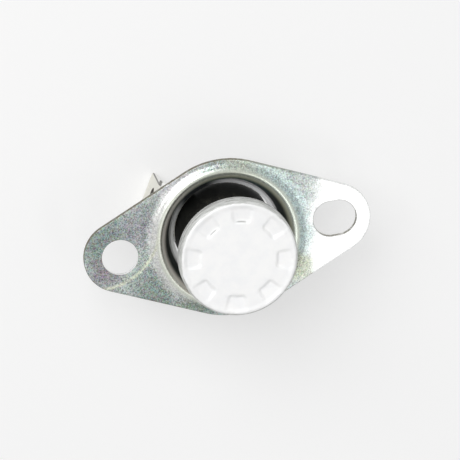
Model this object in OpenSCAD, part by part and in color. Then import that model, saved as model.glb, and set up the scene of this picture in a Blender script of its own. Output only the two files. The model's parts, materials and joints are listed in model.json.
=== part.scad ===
// Snap-disc thermostat with a loose two-ear bracket.
// The origin is the centre of the cap's face, +Z points out of the face, and +Y runs along
// the bracket towards its slotted ear.

/* [Cap] */
// Outside diameter of the cap
cap_d = 12.9; // [12.5:0.1:16]
// Height of the cap, from its face to the underside of its rolled edge
cap_h = 2.2; // [2.2:0.1:3]
// Thickness of the cap's sheet
cap_t = 0.35; // [0.25:0.05:0.45]
// Outside radius between the face and the skirt
cap_edge_r = 0.5; // [0.5:0.05:0.7]
// Number of dents pressed in round the face
dent_count = 8; // [4:1:10]
// Length of a dent along the radius
dent_l = 1.7; // [1:0.1:2]
// Width of a dent as an angle
dent_angle = 23; // [15:1:28]
// Depth of a dent
dent_depth = 0.25; // [0.15:0.05:0.3]
// Angle of the first dent from the X axis
dent_turn = 34; // [0:1:44]

/* [Snap disc] */
// Room between the disc's rim and the cap's skirt
disc_side = 0.4; // [0.2:0.05:0.7]
// Thickness of the two-metal disc
disc_t = 0.2; // [0.15:0.05:0.25]
// Height of the disc's dome while it is cold
disc_rise = 0.25; // [0.2:0.05:0.3]

/* [Guide and pin] */
// Width of the guide's rim that the disc lies on
rim_w = 0.4; // [0.3:0.05:0.6]
// Diameter of the guide's tube under its plate
hub_d = 3.6; // [3:0.1:4.4]
// Length of the tube below the plate
hub_l = 1.4; // [1:0.1:1.8]
// Thickness of the plate inside the base
spigot_h = 0.9; // [0.6:0.1:1.2]
// Diameter of the push pin
pin_d = 1.4; // [1:0.1:1.7]
// Running clearance round the pin
pin_clear = 0.05; // [0.03:0.01:0.08]
// Travel of the pin when the disc snaps
pin_travel = 0.35; // [0.2:0.05:0.4]

/* [Base] */
// How far the flange held inside the cap stands out past the body
flange_w = 0.6; // [0.2:0.05:0.7]
// Thickness of that flange
flange_t = 0.5; // [0.4:0.05:0.6]
// Depth of the groove under the flange, which the cap's edge is rolled into
groove_w = 0.75; // [0.6:0.05:1]
// Height of that groove
groove_h = 1.1; // [0.8:0.1:2]
// Distance from the cap's face to the seat of the terminals
seat_depth = 10.5; // [9.5:0.1:13]
// How far the barrier and the side walls reach below that seat
barrier_h = 1.85; // [1:0.05:2.4]
// Width of the barrier between the terminals
barrier_w = 1.8; // [1.2:0.1:2]
// Thickness of the wall between the groove and the hollow for the contacts
wall_t = 1; // [0.7:0.05:1.05]
// Thickness of the floor between the hollow and the terminals
floor_t = 1.6; // [1.2:0.1:1.8]
// Bevel round the bottom of the base
bevel = 0.3; // [0.2:0.05:0.5]

/* [Contacts] */
// Width of the moving blade and of the fixed plate
blade_w = 2.6; // [2:0.1:3]
// Thickness of the moving blade
blade_t = 0.2; // [0.15:0.05:0.25]
// Height of the blade above the hollow's floor
blade_up = 2; // [1.7:0.05:2.4]
// Thickness of the fixed plate
fixed_t = 0.4; // [0.3:0.05:0.5]
// Diameter of a contact button
contact_d = 1.2; // [1:0.05:1.3]
// Height of a contact button
contact_h = 0.5; // [0.4:0.05:0.6]
// Diameter of the stem that holds a button
stem_d = 0.6; // [0.4:0.05:0.8]
// Height of the head closed on a stem
stem_head_h = 0.15; // [0.1:0.05:0.2]
// Gap between the pin and the buttons
pin_gap = 0.25; // [0.2:0.05:0.3]

/* [Terminals] */
// Angle of the right terminal from the X axis
term_turn = 61; // [0:1:180]
// Width of the tab that a connector goes on
tab_w = 4.8; // [2.8:0.1:6.3]
// Thickness of the terminals
tab_t = 0.5; // [0.4:0.1:0.8]
// How far the tab's outer face stands out past the body
tab_out = 3.05; // [2.3:0.05:6]
// Distance from the leg's top to the tab's tip
tab_l = 5.8; // [5:0.1:9]
// How far a shoulder of the leg stands out past the tab's edge
shoulder_w = 0.5; // [0.2:0.1:0.8]
// Inside radius of the bend between leg and tab
bend_r = 0.5; // [0.3:0.1:0.8]
// Chamfer at the corners of the tip
tip_chamfer = 0.4; // [0.2:0.1:0.8]
// How much the tip's lead-in takes off each face
tip_lead = 0.12; // [0.05:0.01:0.15]
// Diameter of the tab's hole
eye_d = 1.3; // [1:0.1:1.6]
// Distance from the tip to the hole's centre
eye_up = 3.4; // [2:0.1:3.6]
// Distance from the tab's centre line to the hole's centre
eye_aside = 0.8; // [0:0.1:0.9]

/* [Rivets] */
// Diameter of a rivet's shank
rivet_d = 1.2; // [0.9:0.05:1.5]
// Diameter of a rivet's head inside the base
head_d = 1.8; // [1.6:0.1:1.9]
// Height of that head
head_h = 0.5; // [0.3:0.05:0.6]
// Diameter of the head closed under the terminal
tail_d = 2.6; // [2.2:0.1:3]
// Height of that head
tail_h = 0.55; // [0.4:0.05:0.7]
// Clearance round a shank
rivet_clear = 0.04; // [0.03:0.01:0.08]
// Room between a head and the hollow's wall
head_clear = 0.1; // [0.05:0.05:0.2]

/* [Bracket] */
// Distance between the two screw holes
pitch = 24; // [24:0.5:32]
// Diameter of the round screw hole and width of the slotted one
screw_d = 4; // [3:0.1:4.8]
// How much longer than wide the slotted hole is
slot_extra = 0.8; // [0.4:0.1:2]
// Width of the sheet round a screw hole
ear_rim = 2; // [1.4:0.1:2.4]
// Thickness of the bracket's sheet
sheet = 0.6; // [0.5:0.02:0.8]
// Width of the flat between the bead and the bracket's long sides
waist_flat = 0.45; // [0.3:0.05:2]
// Room between the base and the lip of the cup
lip_gap = 0.2; // [0.15:0.05:0.3]
// Depth of the cup, from the plate's top to the lip's underside
cup_depth = 2.9; // [2.4:0.1:3.2]
// Height of the bead above the plate
bead_rise = 0.4; // [0.2:0.05:0.5]
// Inside radius of the cup's bends
cup_bend = 0.3; // [0.2:0.05:0.4]
// Slope of the cup's wall, which narrows towards the lip
cup_taper = 15; // [5:1:18]
// Inside radius where the bead runs out into the plate
foot_bend = 0.3; // [0.2:0.05:0.5]
// Clearance between the top of the cup's wall and the cap
cup_clear = 0.25; // [0.15:0.05:0.35]

/* [Hidden] */
$fn = 96;

// How far a cut runs past the face that it opens
cut = 0.1;
// Gap between pieces that rest on each other, and between pieces that pass
seat_clear = 0.02;
part_clear = 0.05;

cap_r = cap_d / 2;
cap_bore_r = cap_r - cap_t;
roll_z = cap_t - cap_h;
roll_bend = part_clear;
dent_out_r = cap_r - cap_edge_r - 0.05;
dent_in_r = dent_out_r - dent_l;
dent_wall = cap_t * 0.6;
dent_bottom_z = -cap_t - dent_depth;

disc_r = cap_bore_r - disc_side;
dome_drop = disc_rise * pow((dent_in_r - dent_wall) / disc_r, 2);
disc_top_z = min(-cap_t - part_clear, dent_bottom_z - seat_clear + dome_drop);
disc_rim_z = disc_top_z - disc_rise - disc_t;

flange_r = cap_bore_r - part_clear;
flange_top_z = roll_z + flange_t;
guide_top_z = disc_rim_z - seat_clear;
spigot_z = flange_top_z - spigot_h;
hub_z = spigot_z - hub_l;
pin_r = pin_d / 2;

base_r = flange_r - flange_w;
base_bottom_z = -seat_depth - barrier_h;
neck_r = flange_r - groove_w;
groove_z = roll_z - groove_h;
roll_in_r = neck_r + 0.25;
cavity_r = neck_r - wall_t;
floor_z = -seat_depth + floor_t;

rivet_r = rivet_d / 2;
rivet_bore_r = rivet_r + rivet_clear;
rivet_u = cavity_r - head_clear - head_d / 2;

contact_u = pin_r + pin_gap + contact_d / 2;
strip_r = cavity_r - part_clear;
post_w = blade_w + 0.4;
blade_z = floor_z + blade_up;
blade_top_z = blade_z + blade_t;
blade_end_u = contact_u + contact_d / 2 + part_clear;
fixed_z = blade_top_z + 2 * contact_h;
fixed_top_z = fixed_z + fixed_t;
plate_start_u = contact_u - contact_d / 2 - part_clear;
post_start_u = blade_end_u + 0.1;
root_reach = head_d / 2 + 0.1;
root_play = root_reach * pin_travel / rivet_u + seat_clear;

leg_w = tab_w + 2 * shoulder_w;
leg_clear = 0.1;
leg_bottom_z = -seat_depth - tab_t;
leg_start_u = barrier_w / 2 + 0.3;
bend_out_r = bend_r + tab_t;
tab_reach = base_r + tab_out;
tip_z = -seat_depth - tab_l;

lip_z = -seat_depth;
plate_z = lip_z + cup_depth;
cup_hole_r = base_r + lip_gap;
cup_wall_r = cap_r + cup_clear;
bend_full = cup_bend + sheet;
crest_r = cup_wall_r + bend_full;
crest_z = plate_z + bead_rise;
top_bend_z = crest_z - bend_full;
low_bend_z = lip_z + bend_full;
bend_gap = bend_full + cup_bend;
wall_l = (top_bend_z - low_bend_z + bend_gap * sin(cup_taper)) / cos(cup_taper);
low_bend_r = crest_r - bend_gap * cos(cup_taper) - wall_l * sin(cup_taper);
foot_lean = acos(1 - bead_rise / (bend_full + foot_bend));
foot_r = crest_r + (bend_full + foot_bend) * sin(foot_lean);
waist_r = foot_r + waist_flat;
ear_r = screw_d / 2 + ear_rim;

// Turns its children so that their X axis runs from the left terminal to the right one
module along_terminals() {
  rotate([0, 0, term_turn]) children();
}

// Block from u0 to u1 along the terminals, w wide and from z0 up to z1
module block(u0, u1, w, z0, z1) {
  translate([u0, -w / 2, z0]) cube([u1 - u0, w, z1 - z0]);
}

// Upright cylinder of radius r from z0 up to z1
module post(r, z0, z1) {
  translate([0, 0, z0]) cylinder(r = r, h = z1 - z0);
}

// Half of the section of a round head of radius r, flat at z = 0 and h high
module dome_section(r, h) {
  ball_r = (r * r + h * h) / (2 * h);
  intersection() {
    translate([0, h - ball_r]) circle(r = ball_r);
    square([r + cut, h + cut]);
  }
}

// Quarter of a bent sheet's section, in the quadrant that the two signs name
module sheet_bend(inner, thick, sign_x, sign_y) {
  outer = inner + thick;
  intersection() {
    difference() {
      circle(r = outer);
      circle(r = inner);
    }
    translate([sign_x < 0 ? -outer - cut : 0, sign_y < 0 ? -outer - cut : 0])
      square(outer + cut);
  }
}

// Part of a bent sheet's section about a centre, between the lines from it to two points
module sheet_sector(inner, thick, centre, first, second) {
  intersection() {
    translate(centre)
      difference() {
        circle(r = inner + thick);
        circle(r = inner);
      }
    polygon([centre, first, first + second - centre, second]);
  }
}

// Section of the cap's sheet: face, edge, skirt, and the edge rolled in under the flange
module cap_section() {
  low_bend_z = roll_z + roll_bend;
  translate([0, -cap_t]) square([cap_r - cap_edge_r, cap_t]);
  translate([cap_r - cap_edge_r, -cap_edge_r]) sheet_bend(cap_edge_r - cap_t, cap_t, 1, 1);
  translate([cap_bore_r, low_bend_z]) square([cap_t, -cap_edge_r - low_bend_z]);
  translate([cap_bore_r - roll_bend, low_bend_z]) sheet_bend(roll_bend, cap_t, 1, -1);
  translate([roll_in_r, -cap_h]) square([cap_bore_r - roll_bend - roll_in_r, cap_t]);
}

// Ring sector between two radii, turned to each dent's place round the face
module dents(r0, r1, angle, z0, z1) {
  for (i = [0:dent_count - 1])
    rotate([0, 0, dent_turn + i * 360 / dent_count - angle / 2])
      rotate_extrude(angle = angle)
        translate([r0, z0]) square([r1 - r0, z1 - z0]);
}

module cap() {
  side = dent_wall / dent_in_r * 180 / PI;
  color("gainsboro")
    difference() {
      union() {
        rotate_extrude() cap_section();
        dents(dent_in_r - dent_wall, dent_out_r + dent_wall / 2, dent_angle + 2 * side,
              dent_bottom_z, -cap_t / 2);
      }
      dents(dent_in_r, dent_out_r, dent_angle, -dent_depth, cut);
    }
}

module bimetal_disc() {
  ball_r = (disc_r * disc_r + disc_rise * disc_rise) / (2 * disc_rise);
  color("goldenrod")
    intersection() {
      post(disc_r, disc_rim_z - cut, 0);
      translate([0, 0, disc_top_z - ball_r])
        difference() {
          sphere(r = ball_r);
          sphere(r = ball_r - disc_t);
        }
    }
}

// The plate is dished under the disc, so that the disc can snap through
module pin_guide() {
  dish_r = disc_r - rim_w;
  dish_z = guide_top_z - disc_rise - seat_clear;
  color("saddlebrown")
    difference() {
      union() {
        post(flange_r, flange_top_z, guide_top_z);
        post(cavity_r - part_clear, spigot_z, flange_top_z);
        post(hub_d / 2, hub_z, flange_top_z);
      }
      translate([0, 0, dish_z])
        cylinder(r1 = hub_d / 2, r2 = dish_r, h = guide_top_z - dish_z);
      post(hub_d / 2, dish_z, guide_top_z + cut);
      post(dish_r, guide_top_z, guide_top_z + cut);
      post(pin_r + pin_clear, hub_z - cut, 0);
    }
}

module push_pin() {
  pin_top_z = disc_top_z - disc_t - part_clear;
  nose_z = blade_top_z + seat_clear + pin_r;
  color("ivory")
    rotate_extrude() {
      translate([0, nose_z]) square([pin_r, pin_top_z - nose_z]);
      intersection() {
        translate([0, nose_z]) circle(r = pin_r);
        translate([0, nose_z - pin_r]) square(pin_r);
      }
    }
}

// Half of the section of the solid body, from the groove down
module base_section() {
  top_bevel = bevel / 2;
  polygon([[0, roll_z], [neck_r, roll_z], [neck_r, groove_z], [base_r - top_bevel, groove_z],
           [base_r, groove_z - top_bevel], [base_r, base_bottom_z + bevel],
           [base_r - bevel, base_bottom_z], [0, base_bottom_z]]);
}

// Two posts carry the contact parts, and a barrier with two channels holds the terminals apart
module base() {
  color("#1c1c1e")
    along_terminals()
      difference() {
        union() {
          difference() {
            union() {
              rotate_extrude() base_section();
              post(flange_r, roll_z, flange_top_z);
            }
            post(cavity_r, floor_z, flange_top_z + cut);
          }
          intersection() {
            union() {
              block(-cavity_r, root_reach - rivet_u, post_w, floor_z - cut, blade_z - root_play);
              block(post_start_u, cavity_r, post_w, floor_z - cut, fixed_z);
            }
            post(cavity_r + cut, floor_z - cut, fixed_z);
          }
        }
        for (side = [-1, 1]) {
          translate([side * rivet_u, 0, 0]) post(rivet_bore_r, -seat_depth - cut, fixed_z + cut);
          scale([side, 1, 1])
            block(barrier_w / 2, base_r + cut, leg_w + 2 * leg_clear, base_bottom_z - cut,
                  -seat_depth);
        }
      }
}

// Flat strip with its end cut round to clear the hollow's wall, and holes for a rivet and a stem
module contact_strip(u0, u1, z0, z1, hole_u, hole_r) {
  difference() {
    intersection() {
      block(u0, u1, blade_w, z0, z1);
      post(strip_r, z0 - cut, z1 + cut);
    }
    translate([hole_u, 0, 0]) post(hole_r, z0 - cut, z1 + cut);
    translate([contact_u, 0, 0]) post(stem_d / 2 + seat_clear, z0 - cut, z1 + cut);
  }
}

// The root's hole has play round the rivet, so that the whole blade can tip
module moving_blade() {
  color("#b87333")
    along_terminals()
      contact_strip(-cavity_r, blade_end_u, blade_z, blade_top_z, -rivet_u, rivet_r + part_clear);
}

module fixed_plate() {
  color("#c9a64a")
    along_terminals()
      contact_strip(plate_start_u, cavity_r, fixed_z, fixed_top_z, rivet_u, rivet_bore_r);
}

// Button on the face at z = 0 of a strip t thick, with its stem's head closed on the other face
module contact(t) {
  post(contact_d / 2, 0, contact_h);
  post(stem_d / 2, -t - stem_head_h / 2, contact_h / 2);
  translate([0, 0, -t])
    mirror([0, 0, 1]) rotate_extrude() dome_section(contact_d * 0.4, stem_head_h);
}

module moving_contact() {
  color("silver")
    along_terminals() translate([contact_u, 0, blade_top_z]) contact(blade_t);
}

module fixed_contact() {
  color("silver")
    along_terminals() translate([contact_u, 0, fixed_z]) mirror([0, 0, 1]) contact(fixed_t);
}

// Side view of a terminal's bent strip, from the rivet to the thinned tip
module strip_section() {
  lead_z = tip_z + 2 * tip_lead;
  bend_z = -seat_depth - bend_out_r;
  in_u = tab_reach - tab_t;
  translate([leg_start_u, leg_bottom_z])
    square([tab_reach - bend_out_r - leg_start_u, tab_t]);
  translate([tab_reach - bend_out_r, bend_z]) sheet_bend(bend_r, tab_t, 1, 1);
  polygon([[in_u, bend_z], [in_u, lead_z], [in_u + tip_lead, tip_z],
           [tab_reach - tip_lead, tip_z], [tab_reach, lead_z], [tab_reach, bend_z]]);
}

// End view of a terminal: a wide leg with shoulders, and a narrower tab with a chamfered tip
module strip_outline() {
  w = tab_w / 2;
  shoulder_z = -seat_depth - bend_out_r;
  polygon([[-leg_w / 2, cut - seat_depth], [-leg_w / 2, shoulder_z], [-w, shoulder_z],
           [-w, tip_z + tip_chamfer], [tip_chamfer - w, tip_z], [w - tip_chamfer, tip_z],
           [w, tip_z + tip_chamfer], [w, shoulder_z], [leg_w / 2, shoulder_z],
           [leg_w / 2, cut - seat_depth]]);
}

module terminal() {
  color("#c8c6b8")
    along_terminals()
      difference() {
        intersection() {
          rotate([90, 0, 0]) linear_extrude(height = leg_w + 1, center = true) strip_section();
          rotate([90, 0, 90]) linear_extrude(height = tab_reach + 1) strip_outline();
        }
        translate([rivet_u, 0, 0]) post(rivet_bore_r, leg_bottom_z - cut, cut - seat_depth);
        translate([tab_reach - tab_t - cut, -eye_aside, tip_z + eye_up])
          rotate([0, 90, 0]) cylinder(d = eye_d, h = tab_t + 2 * cut);
      }
}

module terminal_right() {
  terminal();
}

module terminal_left() {
  rotate([0, 0, 180]) terminal();
}

// Rivet from the round head seated at head_z down to the one closed under the terminal
module rivet(head_z) {
  color("#cfcfca")
    along_terminals()
      translate([rivet_u, 0, 0]) {
        post(rivet_r, leg_bottom_z - tail_h / 2, head_z + head_h / 2);
        translate([0, 0, head_z]) rotate_extrude() dome_section(head_d / 2, head_h);
        translate([0, 0, leg_bottom_z])
          mirror([0, 0, 1]) rotate_extrude() dome_section(tail_d / 2, tail_h);
      }
}

module rivet_right() {
  rivet(fixed_top_z);
}

module rivet_left() {
  rotate([0, 0, 180]) rivet(blade_top_z + root_play);
}

// Ears and waist joined by their common tangents
module bracket_outline() {
  ear_y = pitch / 2;
  lean = acos((waist_r - ear_r) / ear_y);
  circle(r = waist_r);
  for (end = [-1, 1]) {
    translate([0, end * ear_y]) circle(r = ear_r);
    polygon([[-waist_r * sin(lean), end * waist_r * cos(lean)],
             [-ear_r * sin(lean), end * (ear_y + ear_r * cos(lean))],
             [ear_r * sin(lean), end * (ear_y + ear_r * cos(lean))],
             [waist_r * sin(lean), end * waist_r * cos(lean)]]);
  }
}

module slot_outline() {
  half = slot_extra / 2;
  for (end = [-1, 1]) translate([0, end * half]) circle(d = screw_d);
  translate([-screw_d / 2, -half]) square([screw_d, slot_extra]);
}

// Section of the bead, the cup's sloping wall and the lip round the base
module cup_section() {
  away = [cos(cup_taper), -sin(cup_taper)];
  up = [0, bend_full + cut];
  foot = [foot_r, plate_z + foot_bend];
  crest = [crest_r, top_bend_z];
  low = [low_bend_r, low_bend_z];
  sheet_sector(foot_bend, sheet, foot, foot - up, crest);
  sheet_sector(cup_bend, sheet, crest, crest + up, foot);
  sheet_sector(cup_bend, sheet, crest, crest + up, crest - up.y * away);
  polygon([crest - bend_full * away, crest - cup_bend * away, low + bend_full * away,
           low + cup_bend * away]);
  sheet_sector(cup_bend, sheet, low, low - up, low + up.y * away);
  translate([cup_hole_r, lip_z]) square([low_bend_r - cup_hole_r, sheet]);
}

module bracket() {
  color("#b9bdb4")
    union() {
      translate([0, 0, plate_z - sheet])
        linear_extrude(height = sheet)
          difference() {
            bracket_outline();
            circle(r = foot_r);
            translate([0, -pitch / 2]) circle(d = screw_d);
            translate([0, pitch / 2]) slot_outline();
          }
      rotate_extrude() cup_section();
    }
}

cap();
bimetal_disc();
pin_guide();
push_pin();
base();
moving_blade();
moving_contact();
fixed_contact();
fixed_plate();
terminal_left();
terminal_right();
rivet_left();
rivet_right();
bracket();
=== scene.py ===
"""Snap-disc thermostat: the looks of the cap, the loose bracket, the base and the terminals.

Lengths are in millimetres while a shape is worked out, and in metres once it is in a mesh.
The frame is that of the construction: the origin is the centre of the cap's face, +Z points
out of the face and +Y runs along the bracket towards its slotted ear.
"""
import json
import math

import bmesh
import bpy
import numpy as np
from mathutils import Matrix, Vector


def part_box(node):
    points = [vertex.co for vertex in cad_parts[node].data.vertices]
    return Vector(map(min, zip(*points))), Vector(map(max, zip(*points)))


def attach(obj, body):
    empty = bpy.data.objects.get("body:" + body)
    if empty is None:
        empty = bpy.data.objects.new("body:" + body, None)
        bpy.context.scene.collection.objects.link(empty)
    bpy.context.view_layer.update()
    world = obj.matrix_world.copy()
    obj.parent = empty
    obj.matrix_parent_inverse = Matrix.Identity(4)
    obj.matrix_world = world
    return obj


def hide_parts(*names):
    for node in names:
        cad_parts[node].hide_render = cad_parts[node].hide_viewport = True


MM = 0.001

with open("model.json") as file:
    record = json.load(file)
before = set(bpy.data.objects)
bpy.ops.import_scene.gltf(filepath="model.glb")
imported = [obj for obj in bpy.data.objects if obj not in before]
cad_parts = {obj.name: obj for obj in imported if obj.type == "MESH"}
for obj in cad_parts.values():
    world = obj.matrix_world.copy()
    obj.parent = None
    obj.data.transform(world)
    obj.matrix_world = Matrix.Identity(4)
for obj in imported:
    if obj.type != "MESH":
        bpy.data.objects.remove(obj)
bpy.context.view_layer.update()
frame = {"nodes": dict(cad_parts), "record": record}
mounts = {mount["name"]: mount for mount in frame["record"]["mounts"]}


def corners(node):
    """Lowest and highest corners of a node of the construction, in millimetres."""
    low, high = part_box(node)
    return np.array(low) / MM, np.array(high) / MM


def tone(red, green, blue):
    """An opaque colour in linear light."""
    return (red, green, blue, 1.0)


# Sizes read from the construction
cap_low, cap_high = corners("cap")
bracket_low, bracket_high = corners("bracket")
floor_z = corners("terminal_left")[0][2]
round_hole = mounts["round_hole"]
slotted_hole = mounts["slotted_hole"]

# The cap's sheet: its outer size, its thickness, the outer radius of its upper edge, the inner
# radius of the bend at its rolled rim, and the radius that the rim reaches in to
CAP_R = cap_high[0]
CAP_H = -cap_low[2]
CAP_T = 0.35
CAP_EDGE_R = 0.4
ROLL_BEND = 0.05
ROLL_IN_R = 5.55

# The dents in the cap's face: how many, where the first one is, half the angle of one, its inner
# and outer radius, its depth, how soft its walls and how round its corners are, and the share of
# its depth that is lost on the way out
DENT_COUNT = 8
DENT_TURN = math.radians(34)
DENT_HALF = math.radians(11.5)
DENT_IN_R = 4.2
DENT_OUT_R = 5.9
DENT_DEPTH = 0.20
DENT_SOFT = 0.16
DENT_CORNER = 0.35
DENT_RISE = 0.7

# Painted shade in the crease at a dent's inner end: how far outside that end it lies, how wide it is,
# the share of the dent's half width that it takes and how softly it ends, how far past -X it is
# darkest, and how fast and from which level it fades from there
CREASE_SHIFT = 0.02
CREASE_WIDTH = 0.07
CREASE_LENGTH = 0.6
CREASE_END_SOFT = 0.15
CREASE_TURN = 0.2
CREASE_RISE = 2.2
CREASE_START = 1.1

# The cap's grid: steps on the flat middle and across the dents, how far inside the dents the fine
# steps start, the angles round the axis, and how upright a normal is on the flat of the face
MIDDLE_STEP = 0.5
DENT_STEP = 0.035
DENT_LEAD = 0.4
CAP_ANGLES = np.linspace(0, 2 * math.pi, 385)
UPRIGHT = 0.999

# The tabs: how far they are turned from X, half their width, how far out their faces lie, and
# the place of the eye
TAB_TURN = math.radians(-29)
TAB_HALF = 2.4
TAB_OUT_Y = 8.5
TAB_EYE_X = 0.8
TAB_EYE_Z = -12.9

# The bracket's plate and holes
SCREW_R = round_hole["dims"]["r_mm"]
SLOT_HALF = slotted_hole["dims"]["slot_length_mm"] / 2 - SCREW_R
SHEET = round_hole["dims"]["length_mm"]
EAR_Y = slotted_hole["pos_m"][1] / MM
EAR_R = bracket_high[1] - EAR_Y
WAIST_R = bracket_high[0]
HOLE_MIDDLE = np.array([0, EAR_Y])
PLATE_MID_Z = round_hole["pos_m"][2] / MM
PLATE_TOP_Z = PLATE_MID_Z + SHEET / 2
PLATE_LOW_Z = PLATE_MID_Z - SHEET / 2

# The bracket's cup: the wall clears the cap, and each bend has an inner radius
CUP_CLEAR = 0.25
CUP_INNER_BEND = 0.3
FOOT_INNER_BEND = 0.9
CUP_HOLE_R = 5.65
CUP_TAPER = math.radians(15)
LIP_MID_Z = bracket_low[2] + SHEET / 2
CREST_MID_Z = bracket_high[2] - SHEET / 2
CUP_WALL_R = CAP_R + CUP_CLEAR + SHEET / 2
CUP_BEND = CUP_INNER_BEND + SHEET / 2
FOOT_BEND = FOOT_INNER_BEND + SHEET / 2
CREST_R = CUP_WALL_R + CUP_BEND

# The sheared edge of the plate: the radius that the punch rounds it by, the height where it
# breaks, which is three tenths of the sheet from below, and how far it breaks back
EDGE_ROUND = 0.08
BREAK_Z = PLATE_LOW_Z + SHEET * 0.3
BREAK_INSET = 0.015

# How dark the edge's profile is from the top down, the same for the round hole, whose lower part
# carries a painted highlight (below 0), the share of it in the slot, and where along Y the rim's dark
# has faded. The dark of the sheared edge is real; its fading towards the slotted ear is painted light
# there
RIM_MARK = np.array([0.0, 0.3, 0.7, 0.9, 1.0, 1.0, 1.0])[:, None]
ROUND_HOLE_MARK = np.array([0.0, 0.3, 0.3, 0.0, -0.9, -0.9, -0.9])[:, None]
SLOT_SHARE = 0.8
FADED_Y = 9.0
FADE_LENGTH = 7.0

# The bracket's grid: rays from the axis, the ray where the waist's bands end, the slack in
# comparing numbers, and how many quads the bands and the area round a hole are deep
RAYS = np.linspace(0, 2 * math.pi, 361)
SPLIT = math.radians(45)
SNAP = 1e-9
BAND_STEPS = 6
RING_STEPS = 8

# Points along the outline's tangents, round an ear and round the edge's rounding, and for each
# half of the plate its half turn and half its hole's straight part
TANGENT_POINTS = 25
EAR_POINTS = 97
EDGE_POINTS = 5
HALVES = ((1, SLOT_HALF), (-1, 0.0))

# Bent sheets, in millimetres, and the merging of a mesh's corners, in metres
BEND_STEP = 0.05
MERGE_DISTANCE = 2e-7
THIN_EDGE = 1e-8
SHARP_ANGLE = math.radians(35)

# Tones of the bracket: its zinc and the tints on it, the cup's wall, lip and crest, and the edges. Of
# these, the white ear, the two rings, the wall, the lip, the crest, the dark line beside it and the
# bright edge are painted light and shade, and the teal ring is a real tint as well
ZINC = tone(0.36, 0.41, 0.39)
EAR_PAINTED_REFLECTION = tone(0.88, 0.89, 0.88)
TEAL_TINT_AND_SHADE = tone(0.52, 0.64, 0.63)
FLANK_PAINTED_HIGHLIGHT = tone(0.84, 0.84, 0.82)
STRAW = tone(0.45, 0.49, 0.36)
STREAK = tone(0.78, 0.80, 0.60)
WALL_SHADE_OLIVE = tone(0.56, 0.57, 0.44)
WALL_LIGHT_WARM = tone(0.85, 0.80, 0.72)
WALL_DEEP_SHADE = tone(0.035, 0.045, 0.04)
WALL_TEAL_SHADE = tone(0.04, 0.11, 0.11)
LIP_SHADE = tone(0.03, 0.035, 0.04)
LIP_LIT = tone(0.82, 0.83, 0.81)
LIP_HIGHLIGHT = tone(0.95, 0.95, 0.96)
CREST_HIGHLIGHT = tone(0.66, 0.69, 0.60)
DARK_LINE_SHADE = tone(0.16, 0.13, 0.09)
SHEARED = tone(0.17, 0.15, 0.10)
EDGE_HIGHLIGHT = tone(0.95, 0.95, 0.95)
MID_GREY = tone(0.5, 0.5, 0.5)

# Tints of the zinc, as soft round patches: the middle, radius and tone of each, the share of the
# radius that its edge wanders by, and the share that has the full tint. They are partly the zinc's
# own tint and partly painted light: the dark ones on the -Y side are painted shade where the plate
# reflects no lamp, and the pale ones on the -X side are a painted reflection of the key softbox
TINTS_AND_PAINTED_LIGHT = [
    (-2.0, -13.0, 4.2, tone(0.18, 0.235, 0.215)),
    (-3.0, -9.3, 3.0, tone(0.27, 0.28, 0.30)),
    (1.5, -13.8, 2.6, tone(0.21, 0.20, 0.22)),
    (4.0, -8.0, 4.5, tone(0.19, 0.24, 0.22)),
    (7.0, -4.5, 3.0, tone(0.20, 0.26, 0.22)),
    (-6.0, -4.5, 4.0, tone(0.52, 0.53, 0.55)),
    (-7.6, 3.8, 4.6, tone(0.52, 0.57, 0.48)),
]
TINT_WANDER = 0.9
TINT_CORE = 0.25

# In the values of the finishes a pair says where something starts and where it is full, in
# millimetres. The first is a painted reflection of the ear softbox: the white on the slotted ear
# along the plate, with how its edge slants with X and how it wanders
EAR_REFLECTION_Y = (6.9, 11.0)
EAR_REFLECTION_SLANT = 0.25
EAR_REFLECTION_WANDER = 4.5

# Two arcs round the bead: how each wanders, its pairs out from the axis, along the plate and across
# it, and its tone. The teal arc on the +Y side is the zinc's teal tint with painted shade where the
# bead's slope reflects no lamp; the pale arc on the -Y side is a painted highlight along the bead's
# flank
BEAD_ARCS_OF_LIGHT_AND_SHADE = [
    (1.6, (9.9, 8.4), (2.0, 6.0), (4.8, 2.8), TEAL_TINT_AND_SHADE),
    (1.4, (9.2, 8.1), (-1.0, -5.0), (8.0, 4.0), FLANK_PAINTED_HIGHLIGHT),
]
ARC_SHARE = 0.9

# The straw-coloured patch beside the bead
STRAW_X = 4.6
STRAW_Y = 7.2
STRAW_R = (2.3, 0.7)
STRAW_WANDER = 2.0
STRAW_SHARE = 0.8

# The pale streak: part of a circle beside the round hole
STREAK_X = -3.6
STREAK_Y = -14.1
STREAK_R = 6.9
STREAK_HALF = (0.30, 0.02)
STREAK_FROM_X = (-3.5, -1.5)
STREAK_SHARE = 0.6

# The cup's inside and its deep part, where its wall turns warm and where it turns teal. The wall's
# tones are painted shade, darkest deep down, and lighter towards -Y where painted light falls
INSIDE_R = (CREST_R, CREST_R - 0.5)
DEEP_SHADE_R = (CREST_R - 0.42, CREST_R - 0.95)
WARM_Y = (-2.0, -5.0)
TEAL_X = (-3.0, -6.0)

# The lip with its pale and its white stretch, which are painted light and shade; the crest with its
# painted highlight and the share of its grain that is gone; the painted dark line inside it; and how
# the plate swells towards the bead
LIP_Z = (-9.3, -9.7)
LIP_R = (6.3, 6.15)
LIP_PALE_Y = (-3.6, -5.2)
LIP_WHITE_Y = (-1.5, 1.0)
CREST_HALF = (0.55, 0.12)
CREST_SHARE = 0.8
CREST_SMOOTH = 0.75
DARK_LINE_IN = 0.16
DARK_LINE_HALF = (0.11, 0.03)
DARK_LINE_SHARE = 0.6
SWELL_R = (9.4, 7.2)
SWELL_DEPTH = 0.13

# The zinc's grain: sizes of the fine grains, the coarse patches and the colour grains, how much
# the last two show, how strong all of it is, and its depth
FINE_GRAIN = 0.115
COARSE_GRAIN = 0.3
COLOUR_GRAIN = 0.16
COARSE_SHARE = 0.22
COLOUR_SHARE = 0.13
GRAIN_CONTRAST = 1.8
GRAIN_DEPTH = 0.010

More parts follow.
